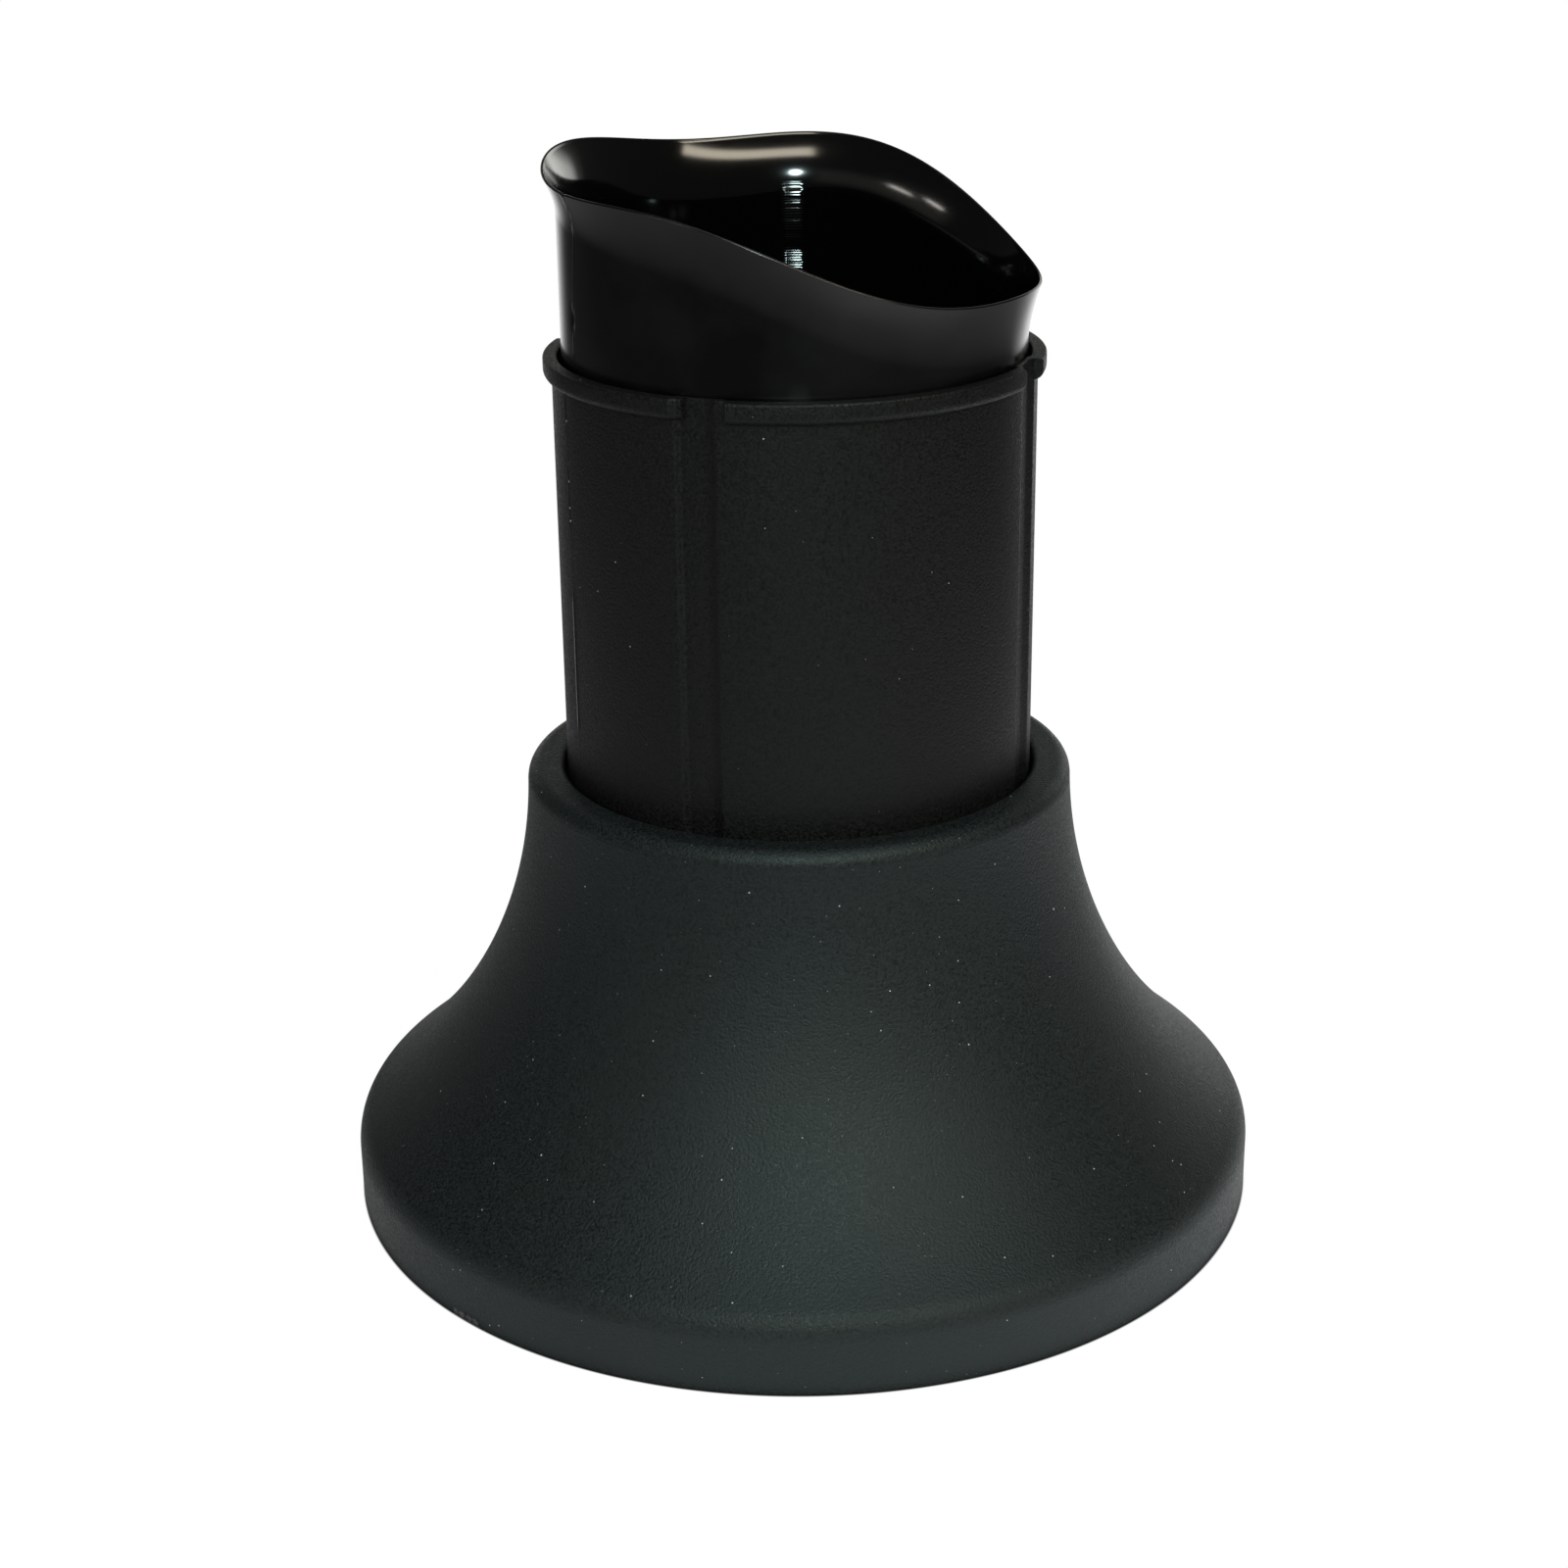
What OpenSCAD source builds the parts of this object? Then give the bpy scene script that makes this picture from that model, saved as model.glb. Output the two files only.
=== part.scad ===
// Three-stage telescoping column cover: a bell-shaped base, a middle tube and a top tube.
// Origin: centre of the base, on the surface that it stands on. +Z runs up the common axis.
// Angles in the part are measured about +Z from +X, so the front is at -90 degrees.

/* [Bell] */
// Outer radius of the skirt at the foot of the bell
base_r = 60; // [56:0.5:70]
// Height of the straight skirt below the shoulder
skirt_h = 7; // [4:0.5:12]
// Radius of the rounded shoulder above the skirt
shoulder_r = 4.5; // [3:0.5:8]
// Radius of the concave flare between the shoulder and the neck
flare_r = 61; // [58:1:70]
// Outer radius of the neck
neck_r = 35.2; // [34.5:0.1:36.5]
// Height of the top of the rim
rim_h = 58.7; // [56:0.1:64]
// Wall thickness of the bell
bell_wall = 1.8; // [1.2:0.1:2.2]
// Radius of the outer corner of the rim
rim_corner_r = 2; // [1:0.1:2.5]
// Radius of the corner around the hole in the rim
hole_corner_r = 0.8; // [0.4:0.1:1.2]
// Thickness of the rim's flat web between the neck and the guide sleeve
rim_web = 3; // [2.6:0.1:4]
// Length of the guide sleeve, from the top of the rim down
sleeve_l = 16; // [8:1:24]
// Wall thickness of the guide sleeve
sleeve_wall = 1.3; // [1:0.1:1.5]

/* [Middle tube] */
// Outer radius of the middle tube
middle_r = 30; // [29.9:0.05:30.1]
// Wall thickness of the middle tube
middle_wall = 0.7; // [0.65:0.01:0.75]
// Height of the middle tube
middle_h = 111.8; // [100:0.1:118]
// How far the collar stands out from the tube
collar_w = 1.05; // [0.8:0.05:1.5]
// Height of the collar
collar_h = 2.6; // [2:0.1:4]
// Radius of the collar's top edge
collar_edge_r = 0.35; // [0.2:0.05:0.5]
// Width of each lengthwise groove, as an angle
groove_angle = 10; // [6:1:14]
// Depth of each lengthwise groove
groove_d = 0.6; // [0.4:0.05:0.7]
// Distance from the top of the tube down to its inner stop lip
lip_drop = 3; // [2:0.5:6]
// Height of the inner stop lip
lip_web = 3; // [2:0.5:6]

/* [Top tube] */
// Outer radius of the top tube
top_r = 28.75; // [28.7:0.01:28.78]
// Wall thickness of the top tube
top_wall = 1.15; // [1.05:0.05:1.5]
// Mean height of the flared lip
lip_h = 129.1; // [129:0.1:140]
// How far the lip rises on its high side and falls on its low side
lip_tilt = 7.6; // [0:0.1:8]
// Second wave of the lip, which makes its high and low stretches level
lip_sway = 2; // [0:0.1:2.2]
// How far the flared lip stands out from the tube
lip_out = 1.55; // [0.8:0.05:3]
// Height over which the wall curves out into the lip
lip_curl = 5; // [3:0.5:6]
// Thickness of the lip's edge
lip_edge = 0.4; // [0.3:0.05:0.8]

/* [Stop rings] */
// Outer radius of the middle tube's stop ring
middle_ring_r = 32.4; // [31.8:0.1:32.8]
// Height of the middle tube's stop ring
middle_ring_h = 4; // [3:0.5:6]
// Height of the top tube's stop ring
top_ring_h = 3; // [2:0.5:5]
// Height of the middle tube's ring seat above the tube's lower end
middle_seat_z = 2; // [2:0.5:4]
// Height of the top tube's ring seat above the tube's lower end
top_seat_z = 14; // [8:1:20]
// Gap in each split ring, as an angle
ring_split = 6; // [4:1:10]

/* [Fits] */
// Radial clearance between the middle tube and the hole in the bell
hole_gap = 0.45; // [0.3:0.05:0.5]
// Radial running clearance of the guided parts
run_gap = 0.08; // [0.05:0.01:0.1]
// Clearance above and below a ring in its seat
end_gap = 0.15; // [0.1:0.05:0.2]

/* [Hidden] */
$fn = 180;
round_steps = 10;
flare_steps = 28;
full_turn = 360;
overcut = 1;

// Bell: the flare is one arc that meets the shoulder's arc without a corner
hole_r = middle_r + hole_gap;
sleeve_r = hole_r + sleeve_wall;
flare_x = neck_r + flare_r;
shoulder_x = base_r - shoulder_r;
flare_z = skirt_h + sqrt(pow(flare_r + shoulder_r, 2) - pow(flare_x - shoulder_x, 2));
tangent_angle = atan2(flare_z - skirt_h, flare_x - shoulder_x);
flare_foot_angle = 180 + tangent_angle;
rim_corner_z = rim_h - rim_corner_r;
web_z = rim_h - rim_web;
sleeve_z = rim_h - sleeve_l;

// Middle tube: the wall steps inwards behind each groove, as a rib that guides the top tube
bore_r = middle_r - middle_wall;
rib_r = top_r + run_gap;
groove_floor_r = middle_r - groove_d;
rib_side_angle = 2;
groove_start_z = 10;
groove_centres = [-112, -19, 68, 161];
groove_spans = [93, 87, 93, 87];
collar_r = middle_r + collar_w;
collar_z = middle_h - collar_h;
lip_top_z = middle_h - lip_drop;
lip_bottom_z = lip_top_z - lip_web;

// Ring seats and the rings that sit in them
middle_seat_d = 0.35;
top_seat_d = 0.55;
middle_ring_top_z = middle_seat_z + middle_ring_h;
top_ring_top_z = top_seat_z + top_ring_h;
middle_seat_r = middle_r - middle_seat_d;
top_seat_r = top_r - top_seat_d;
middle_ring_bore_r = middle_seat_r + run_gap;
top_ring_bore_r = top_seat_r + run_gap;
top_ring_r = bore_r - run_gap;
notch_r = rib_r - run_gap - end_gap;
notch_gap_angle = 1;
split_at = 90;
notch_angle = groove_angle + rib_side_angle + 2 * notch_gap_angle;

// Top tube: a lip that waves up and down on its way round, each wave with its own phase
top_bore_r = top_r - top_wall;
lip_base_z = 112;
lip_waves = [lip_tilt, lip_sway, 0.3, 1.05];
lip_phases = [154.5, 137, -154, -89];
lip_columns = 120;
curl_steps = 6;
seam_step = 0.005;

// Points along an arc, from angle a0 to a1
function arc(centre, r, a0, a1, steps) =
    [for (i = [0 : steps]) let (a = a0 + (a1 - a0) * i / steps) centre + r * [cos(a), sin(a)]];

// Angle of the point at height z on the left half of a circle about the flare's centre
function flare_angle(z, r) = 180 + asin((flare_z - z) / r);

// A full ring with the section that points gives
module turned(points) {
    rotate_extrude()
        polygon(points);
}

// Part of a ring, with its middle at angle a
module sector(r0, r1, z0, z1, a, width) {
    rotate([0, 0, a - width / 2])
        rotate_extrude(angle = width)
            translate([r0, z0])
                square([r1 - r0, z1 - z0]);
}

// Base cover: skirt, shoulder, flare, neck, and a sleeve that guides the middle tube
module bell() {
    outside = concat(
        [[base_r, 0]],
        arc([shoulder_x, skirt_h], shoulder_r, 0, tangent_angle, round_steps),
        arc([flare_x, flare_z], flare_r, flare_foot_angle, flare_angle(rim_corner_z, flare_r), flare_steps),
        arc([neck_r - rim_corner_r, rim_corner_z], rim_corner_r, 0, 90, round_steps),
        arc([hole_r + hole_corner_r, rim_h - hole_corner_r], hole_corner_r, 90, 180, round_steps));
    sleeve = [[hole_r, sleeve_z], [sleeve_r, sleeve_z], [sleeve_r, web_z]];
    inside_flare_r = flare_r + bell_wall;
    inside_top_angle = flare_angle(web_z, inside_flare_r);
    inside = concat(
        arc([flare_x, flare_z], inside_flare_r, inside_top_angle, flare_foot_angle, flare_steps),
        arc([shoulder_x, skirt_h], shoulder_r - bell_wall, tangent_angle, 0, round_steps),
        [[base_r - bell_wall, 0]]);
    color([0.10, 0.11, 0.11])
        turned(concat(outside, sleeve, inside));
}

// Split ring on the foot of the middle tube, too wide to pass up through the sleeve
module middle_stop_ring() {
    color([0.22, 0.22, 0.23])
        difference() {
            turned([
                [middle_ring_bore_r, middle_seat_z],
                [middle_ring_r, middle_seat_z],
                [middle_ring_r, middle_ring_top_z],
                [middle_ring_bore_r, middle_ring_top_z]]);
            sector(middle_r - overcut, middle_ring_r + overcut, 0, middle_ring_top_z + overcut,
                split_at, ring_split);
        }
}

// Middle tube: ring seat, collar, inner stop lip, and grooves backed by guide ribs inside
module middle_tube() {
    outside = concat(
        [[middle_r, 0]],
        [[middle_r, middle_seat_z - end_gap]],
        [[middle_seat_r, middle_seat_z - end_gap]],
        [[middle_seat_r, middle_ring_top_z + end_gap]],
        [[middle_r, middle_ring_top_z + end_gap]],
        arc([middle_r, collar_z + collar_w], collar_w, -90, 0, round_steps),
        arc([collar_r - collar_edge_r, middle_h - collar_edge_r], collar_edge_r, 0, 90, round_steps));
    color([0.10, 0.11, 0.11])
        difference() {
            turned(concat(outside, [[rib_r, middle_h], [rib_r, 0]]));
            for (i = [0 : len(groove_centres) - 1]) {
                span = groove_spans[i];
                middle = groove_centres[i] + span / 2;
                between_ribs = span - groove_angle - rib_side_angle;
                sector(rib_r - overcut, bore_r, -overcut, lip_bottom_z, middle, between_ribs);
                sector(rib_r - overcut, bore_r, lip_top_z, middle_h + overcut, middle, between_ribs);
                sector(groove_floor_r, collar_r + overcut, groove_start_z, middle_h + overcut,
                    groove_centres[i], groove_angle);
            }
        }
}

// Split ring near the foot of the top tube, notched to run along the middle tube's ribs
module top_stop_ring() {
    color([0.22, 0.22, 0.23])
        difference() {
            turned([
                [top_ring_bore_r, top_seat_z],
                [top_ring_r, top_seat_z],
                [top_ring_r, top_ring_top_z],
                [top_ring_bore_r, top_ring_top_z]]);
            sector(top_seat_r - overcut, top_ring_r + overcut, 0, top_ring_top_z + overcut,
                split_at, ring_split);
            for (a = groove_centres)
                sector(notch_r, top_ring_r + overcut, 0, top_ring_top_z + overcut, a, notch_angle);
        }
}

// Height of the lip at angle a: the sum of one, two, three and four waves to the turn
function lip_z(a) =
    lip_h + sum([for (k = [0 : len(lip_waves) - 1]) lip_waves[k] * cos((k + 1) * a - lip_phases[k])]);

// Sum of a list of numbers
function sum(v, i = 0) = i < len(v) ? v[i] + sum(v, i + 1) : 0;

// Section of the lip at angle a: up the outside, over the edge and down the inside
function lip_section(a) =
    let (top = lip_z(a), foot = top - lip_curl)
    concat(
        [[top_r - seam_step, lip_base_z]],
        [for (i = [0 : curl_steps]) let (t = i / curl_steps)
            [top_r - seam_step + lip_out * t * t, foot + lip_curl * t]],
        [for (i = [curl_steps : -1 : 0]) let (t = i / curl_steps)
            [top_bore_r + 3 * seam_step + (lip_out + top_wall - lip_edge) * t * t, foot + lip_curl * t]],
        [[top_bore_r + 3 * seam_step, lip_base_z]]);

// Wall of the top tube above lip_base_z, swept around the axis under the wavy edge
module wavy_lip() {
    sections = [for (i = [0 : lip_columns - 1]) lip_section(full_turn * i / lip_columns)];
    m = len(sections[0]);
    points = [for (i = [0 : lip_columns - 1]) let (a = full_turn * i / lip_columns)
        for (p = sections[i]) [p.x * cos(a), p.x * sin(a), p.y]];
    faces = [for (i = [0 : lip_columns - 1], j = [0 : m - 1], half = [0, 1])
        let (n = (i + 1) % lip_columns, k = (j + 1) % m)
        half == 0 ? [i * m + j, i * m + k, n * m + k] : [i * m + j, n * m + k, n * m + j]];
    polyhedron(points, faces);
}

// Top tube: ring seat at the foot, plain wall, flared lip
module top_tube() {
    color([0.02, 0.02, 0.025])
        union() {
            turned([
                [top_bore_r, 0],
                [top_r, 0],
                [top_r, top_seat_z - end_gap],
                [top_seat_r, top_seat_z - end_gap],
                [top_seat_r, top_ring_top_z + end_gap],
                [top_r, top_ring_top_z + end_gap],
                [top_r, lip_base_z],
                [top_bore_r, lip_base_z]]);
            wavy_lip();
        }
}

bell();
middle_stop_ring();
middle_tube();
top_stop_ring();
top_tube();
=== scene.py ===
import math

import bpy
from mathutils import Matrix, Vector


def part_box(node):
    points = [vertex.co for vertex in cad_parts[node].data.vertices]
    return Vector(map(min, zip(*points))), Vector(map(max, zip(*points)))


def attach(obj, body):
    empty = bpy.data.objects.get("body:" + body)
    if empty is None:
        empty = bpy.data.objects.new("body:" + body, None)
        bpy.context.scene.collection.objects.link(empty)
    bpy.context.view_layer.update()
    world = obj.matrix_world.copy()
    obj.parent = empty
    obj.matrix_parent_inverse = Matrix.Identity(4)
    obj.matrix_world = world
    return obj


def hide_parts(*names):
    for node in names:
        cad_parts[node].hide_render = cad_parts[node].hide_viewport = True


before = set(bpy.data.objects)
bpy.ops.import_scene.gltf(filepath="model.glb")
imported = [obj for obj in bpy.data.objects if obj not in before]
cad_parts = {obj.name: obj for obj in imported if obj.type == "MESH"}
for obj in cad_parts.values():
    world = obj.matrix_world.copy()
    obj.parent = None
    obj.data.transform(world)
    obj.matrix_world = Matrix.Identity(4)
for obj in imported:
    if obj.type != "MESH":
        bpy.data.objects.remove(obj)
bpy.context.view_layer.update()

# Sections are written in millimetres, as (radius, height). Angles are in degrees about +Z from +X,
# so the front, where the camera stands, is at -90.
MM = 0.001


def top_of(node):
    """Height of the top of a CAD node, in millimetres."""
    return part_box(node)[1].z / MM


def radius_of(node):
    """Outer radius of a round CAD node, in millimetres."""
    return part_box(node)[1].x / MM


# ---------------------------------------------------------------- sizes

BASE_R = radius_of("bell")
RIM_H = top_of("bell")
MIDDLE_H = top_of("middle_tube")

# Bell: section sizes, and the number of steps in each part of the section
SKIRT_H = 7.0
SHOULDER_R = 4.5
FLARE_R = 61.0
NECK_R = 35.2
BELL_WALL = 1.8
RIM_CORNER_R = 2.0
HOLE_R = 30.45
HOLE_CORNER_R = 0.8
WEB = 3.0
WEB_FILLET_R = 0.8
WEB_CORNER = 0.5
SLEEVE_L = 16.0
SLEEVE_WALL = 1.3
SLEEVE_CHAMFER = 0.3
FOOT_EDGE_R = 0.25
FOOT_CHAMFER = 0.2
FOOT_STEPS, SKIRT_STEPS, SHOULDER_STEPS, FLARE_STEPS = 5, 24, 18, 60
RIM_STEPS, HOLE_STEPS, WEB_STEPS, INSIDE_STEPS, INNER_SHOULDER_STEPS = 16, 10, 6, 40, 10

# Gate scar on the bell's foot: its ragged height and depth are a mean and two waves
SCAR_ANGLE = -134.2
SCAR_HALF = 2.5
SCAR_H = 1.2
SCAR_CUT = 0.22
SCAR_SOFT = 0.3
SCAR_TOP_SOFT = 0.35
SCAR_SKIN = 0.5
SCAR_MEAN = 0.75
SCAR_WAVES = ((0.25, 9), (0.12, 23))
SCAR_PALE_STEPS = (-1.9, -0.8, 0.4, 1.6)
SCAR_PALE_Z, SCAR_PALE_R, SCAR_PALE = 0.5, 0.7, 0.12

# Middle tube
MIDDLE_R = 30.0
BORE_R = 29.3
RIB_R = 28.83
GROOVE_D = 0.6
GROOVE_START = 10.0
GROOVE_CENTRES = (-112, -19, 68, 161)
RIB_HALF = 6.0
RIB_SOFT = 0.6
GROOVE_LEFT = -6.0
GROOVE_LEFT_END = -4.6
GROOVE_RIGHT_END = 1.6
GROOVE_RIGHT = 4.6
COLLAR_GAPS = ((-115.3, -105.4), (-27.1, -15.0), (63.0, 73.0), (156.0, 166.0))
COLLAR_END = 0.5
SEAM_ANGLE = -156.5
SEAM_HALF = 0.4
SEAM_H = 0.12
SEAM_LOW_SHARE = 0.25
SEAM_RAISED = (66, 84, 1.5)
SEAM_PALE = (66.5, 83.5)
SEAM_PALE_HALF, SEAM_PALENESS = 0.12, 0.4
SEAM_CUT = 0.16
SEAM_PINCHED = ((93, 100, 1.5), (106, 109.3, 1.0))
CHIP_HEIGHTS = (105.7, 98.2, 94.9, 93.3)
CHIP_R = 0.2
COLLAR_W = 1.05
COLLAR_H = 2.6
COLLAR_EDGE_R = 0.35
COLLAR_EDGE_STEPS = 6
BEAD_ANGLES = range(-90, 1, 10)
STOP_LIP_DROP = 3.0
STOP_LIP_H = 3.0
SEAT_LOW, SEAT_HIGH, SEAT_D = 1.85, 6.15, 0.35
FINE_AT_LEFT, FINE_AT_RIGHT, FINE_PAST_GAP = -5.3, 4.3, 0.2
CHAMFER = 0.2
SMALL_EDGE = 0.15
HALF_EDGE = 0.1
GROOVE_LEAD = 0.3
LIP_UNDERCUT = 0.02
WALL_STEPS = 100

# Top tube
TOP_R = 28.75
TOP_WALL = 1.15
LIP_H = 129.1
LIP_WAVES = (7.6, 2.0, 0.3, 1.05)
LIP_PHASES = (154.5, 137, -154, -89)
LIP_OUT = 1.55
LIP_CURL = 7.5
CURL_LESS, CURL_LESS_AT, CURL_LESS_HALF = 2.5, -172, 62
LIP_BEND = 1.7
LIP_EDGE = 0.4
LIP_EDGE_ANGLES = (30, 60, 90, 120, 150)
TOP_SEAM_ANGLE = -156.1
TOP_SEAM_LEAN = 0.28
TOP_SEAM_H = 0.05
TOP_SEAM_FINE = (0, 1.7, 3.4)
NICK_Z = 117.9
NICK_CUT = 0.45
NOTCH_ANGLE = -152.1
NOTCH_DROP = 0.25
NOTCH_HALF = 1.3
NICK_HALF, NICK_TALL = 1.3, 0.8
CREASE_L = 3.5
CREASE_HALF = 0.6
CREASE_SOFT = 1.0
LIP_STEPS = 24
BORE_STEPS = 30
TUBE_LEAD = 0.5
TOP_SEAT_LOW, TOP_SEAT_HIGH, TOP_SEAT_D = 13.85, 17.15, 0.55

# Marks on the top tube. The ripple's pitch, half width and place are in metres, its slope has no unit, and
# its heights are in millimetres. The outer mark, a painted highlight streak down the front of the outside,
# is an angle, a half width, and two heights. The outside is rougher than the bore by OUTSIDE_ROUGHER.
RIPPLE_PITCH = 0.00034
RIPPLE_SLOPE = 0.28
RIPPLE_HALF = 0.0014
RIPPLE_BEHIND = 0.002
RIPPLE_BAND = (115.5, 119.0)
RIPPLE_TOP = 127.5
RIPPLE_FAINT = (0.35, 0.9)
OUTSIDE_ROUGHER = 0.1
# The outer mark is a painted highlight: a pale upright streak painted into the colour where the flash
# shines on the front of the outside
OUTER_PAINTED_HIGHLIGHT = (-89.0, 2.5, 106.0, 113.5)
OUTER_PAINTED_HIGHLIGHT_SHARE = 0.55


# ---------------------------------------------------------------- small helpers

def mix(a, b, t):
    """The value t of the way from a to b."""
    return a + (b - a) * t


def smooth(t):
    """Smooth step from 0 to 1."""
    t = min(1.0, max(0.0, t))
    return t * t * (3 - 2 * t)


def band(x, low, high, soft):
    """1 between low and high and 0 beyond, with soft ends."""
    return smooth((x - low) / soft + 0.5) * smooth((high - x) / soft + 0.5)


def near(angle, centre, half):
    """1 at the centre angle, falling smoothly to 0 at half on either side."""
    return smooth(1 - abs(wrap(angle - centre)) / half)


def arc(cx, cz, r, a0, a1, steps):
    """Points along an arc about (cx, cz), both ends included."""
    angles = [math.radians(mix(a0, a1, i / steps)) for i in range(steps + 1)]
    return [(cx + r * math.cos(a), cz + r * math.sin(a)) for a in angles]


def line(p, q, steps):
    """Points from p to q, without q."""
    return [(mix(p[0], q[0], i / steps), mix(p[1], q[1], i / steps)) for i in range(steps)]


def wrap(angle):
    """The angle brought between -180 and 180."""
    return (angle + 180) % 360 - 180


FINE_STEPS = (-0.9, -0.55, -0.35, -0.2, -0.1, 0.0, 0.1, 0.2, 0.35, 0.55, 0.9)
FINE_CLEAR = 0.15
SHARP_ANGLE = 32


def all_angles(fine_places):
    """Every degree all the way round, and closer together about the given angles."""
    angles = set(float(a) for a in range(-180, 180))
    for place in fine_places:
        angles = {a for a in angles if abs(wrap(a - place)) > FINE_STEPS[-1] + FINE_CLEAR}
        angles |= {wrap(place + step) for step in FINE_STEPS}
    return sorted(angles)


def ring_mesh(name, angles, section):
    """A closed mesh swept round the axis. section(angle) is a closed outline in millimetres,
    with the same number of points at every angle."""
    columns = [section(a) for a in angles]
    m = len(columns[0])
    n = len(angles)
    verts = []
    for a, column in zip(angles, columns):
        c, s = math.cos(math.radians(a)) * MM, math.sin(math.radians(a)) * MM
        verts += [(r * c, r * s, z * MM) for r, z in column]
    faces = []
    for i in range(n):
        k = (i + 1) % n
        for j in range(m):
            h = (j + 1) % m
            faces.append((i * m + j, k * m + j, k * m + h, i * m + h))
    mesh = bpy.data.meshes.new(name)
    mesh.from_pydata(verts, [], faces)
    mesh.validate()
    mesh.shade_smooth()
    mesh.set_sharp_from_angle(angle=math.radians(SHARP_ANGLE))
    obj = bpy.data.objects.new(name, mesh)
    bpy.context.scene.collection.objects.link(obj)
    return obj


# ---------------------------------------------------------------- bell

def bell_outline():
    """Section of the bell: skirt, shoulder, flare, rim, hole, sleeve, and back down the inside."""
    flare_x = NECK_R + FLARE_R
    shoulder_x = BASE_R - SHOULDER_R
    flare_z = SKIRT_H + math.sqrt((FLARE_R + SHOULDER_R) ** 2 - (flare_x - shoulder_x) ** 2)
    turn = math.degrees(math.atan2(flare_z - SKIRT_H, flare_x - shoulder_x))
    corner_z = RIM_H - RIM_CORNER_R

    def flare_angle(z, r):
        return 180 + math.degrees(math.asin((flare_z - z) / r))

    web_z = RIM_H - WEB
    sleeve_z = RIM_H - SLEEVE_L
    sleeve_r = HOLE_R + SLEEVE_WALL
    inner_r = FLARE_R + BELL_WALL
    foot = arc(BASE_R - FOOT_EDGE_R, FOOT_EDGE_R, FOOT_EDGE_R, -90, 0, FOOT_STEPS)
    skirt = line((BASE_R, FOOT_EDGE_R), (BASE_R, SKIRT_H), SKIRT_STEPS)[1:]
    shoulder = arc(shoulder_x, SKIRT_H, SHOULDER_R, 0, turn, SHOULDER_STEPS)
    flare = arc(flare_x, flare_z, FLARE_R, 180 + turn, flare_angle(corner_z, FLARE_R), FLARE_STEPS)[1:]
    corner = arc(NECK_R - RIM_CORNER_R, corner_z, RIM_CORNER_R, 0, 90, RIM_STEPS)
    hole = arc(HOLE_R + HOLE_CORNER_R, RIM_H - HOLE_CORNER_R, HOLE_CORNER_R, 90, 180, HOLE_STEPS)
    sleeve = [(HOLE_R, sleeve_z + SLEEVE_CHAMFER), (HOLE_R + SLEEVE_CHAMFER, sleeve_z),
              (sleeve_r - SLEEVE_CHAMFER, sleeve_z), (sleeve_r, sleeve_z + SLEEVE_CHAMFER)]
    web = arc(sleeve_r + WEB_FILLET_R, web_z - WEB_FILLET_R, WEB_FILLET_R, 180, 90, WEB_STEPS)
    inside = arc(flare_x, flare_z, inner_r, flare_angle(web_z - WEB_CORNER, inner_r), 180 + turn,
                 INSIDE_STEPS)
    inner_shoulder = arc(shoulder_x, SKIRT_H, SHOULDER_R - BELL_WALL, turn, 0, INNER_SHOULDER_STEPS)[1:]
    inner_foot = [(BASE_R - BELL_WALL, FOOT_CHAMFER), (BASE_R - BELL_WALL + FOOT_CHAMFER, 0.0)]
    return (foot + skirt + shoulder + flare + corner + hole + sleeve + web + inside
            + inner_shoulder + inner_foot)


def bell_section(outline, angle):
    """The outline, with the cut-off gate scar on the edge of the foot."""
    offset = wrap(angle - SCAR_ANGLE)
    share = band(offset, -SCAR_HALF, SCAR_HALF, SCAR_SOFT)
    if share == 0:
        return outline
    ragged = SCAR_MEAN
    for size, rate in SCAR_WAVES:
        ragged += size * math.sin(offset * rate)
    cut = SCAR_CUT * share * ragged
    skin_r = BASE_R - BELL_WALL + SCAR_SKIN
    return [(r - cut * band(z, -1, SCAR_H * ragged, SCAR_TOP_SOFT) if r > skin_r else r, z)
            for r, z in outline]


def make_bell():
    outline = bell_outline()
    places = [SCAR_ANGLE + step for step in (-SCAR_HALF, 0.0, SCAR_HALF)]
    obj = ring_mesh("bell_shell", all_angles(places), lambda a: bell_section(outline, a))
    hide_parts("bell")
    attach(obj, "base")
    return obj


# ---------------------------------------------------------------- middle tube

def groove_share(angle):
    """1 on the floor of a groove and 0 outside it. The wall on the right is the wider one."""
    for centre in GROOVE_CENTRES:
        offset = wrap(angle - centre)
        if GROOVE_LEFT < offset < GROOVE_RIGHT:
            left = smooth((offset - GROOVE_LEFT) / (GROOVE_LEFT_END - GROOVE_LEFT))
            right = smooth((GROOVE_RIGHT - offset) / (GROOVE_RIGHT - GROOVE_RIGHT_END))
            return min(left, right)
    return 0.0


def rib_share(angle):
    """1 behind a groove, where the wall steps inwards, and 0 elsewhere."""
    for centre in GROOVE_CENTRES:
        inside = RIB_HALF - abs(wrap(angle - centre))
        if inside > -1:
            return smooth(0.5 + inside / RIB_SOFT)
    return 0.0


def collar_share(angle):
    """1 where the collar is whole and 0 in its gaps, with rounded ends."""
    for low, high in COLLAR_GAPS:
        if low - COLLAR_END < angle < high + COLLAR_END:
            past_low = max(0.0, 1 - max(0.0, low - angle) / COLLAR_END)
            past_high = max(0.0, 1 - max(0.0, angle - high) / COLLAR_END)
            end = min(past_low, past_high)
            return math.sqrt(max(0.0, 1 - end * end))
    return 1.0


def seam_height(angle, z):
    """The parting line: raised low down, pinched in near the top."""
    raised = SEAM_H * (SEAM_LOW_SHARE + band(z, *SEAM_RAISED))
    pinched = SEAM_CUT * sum(band(z, *span) for span in SEAM_PINCHED)
    return near(angle, SEAM_ANGLE, SEAM_HALF) * (raised - pinched)


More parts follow.
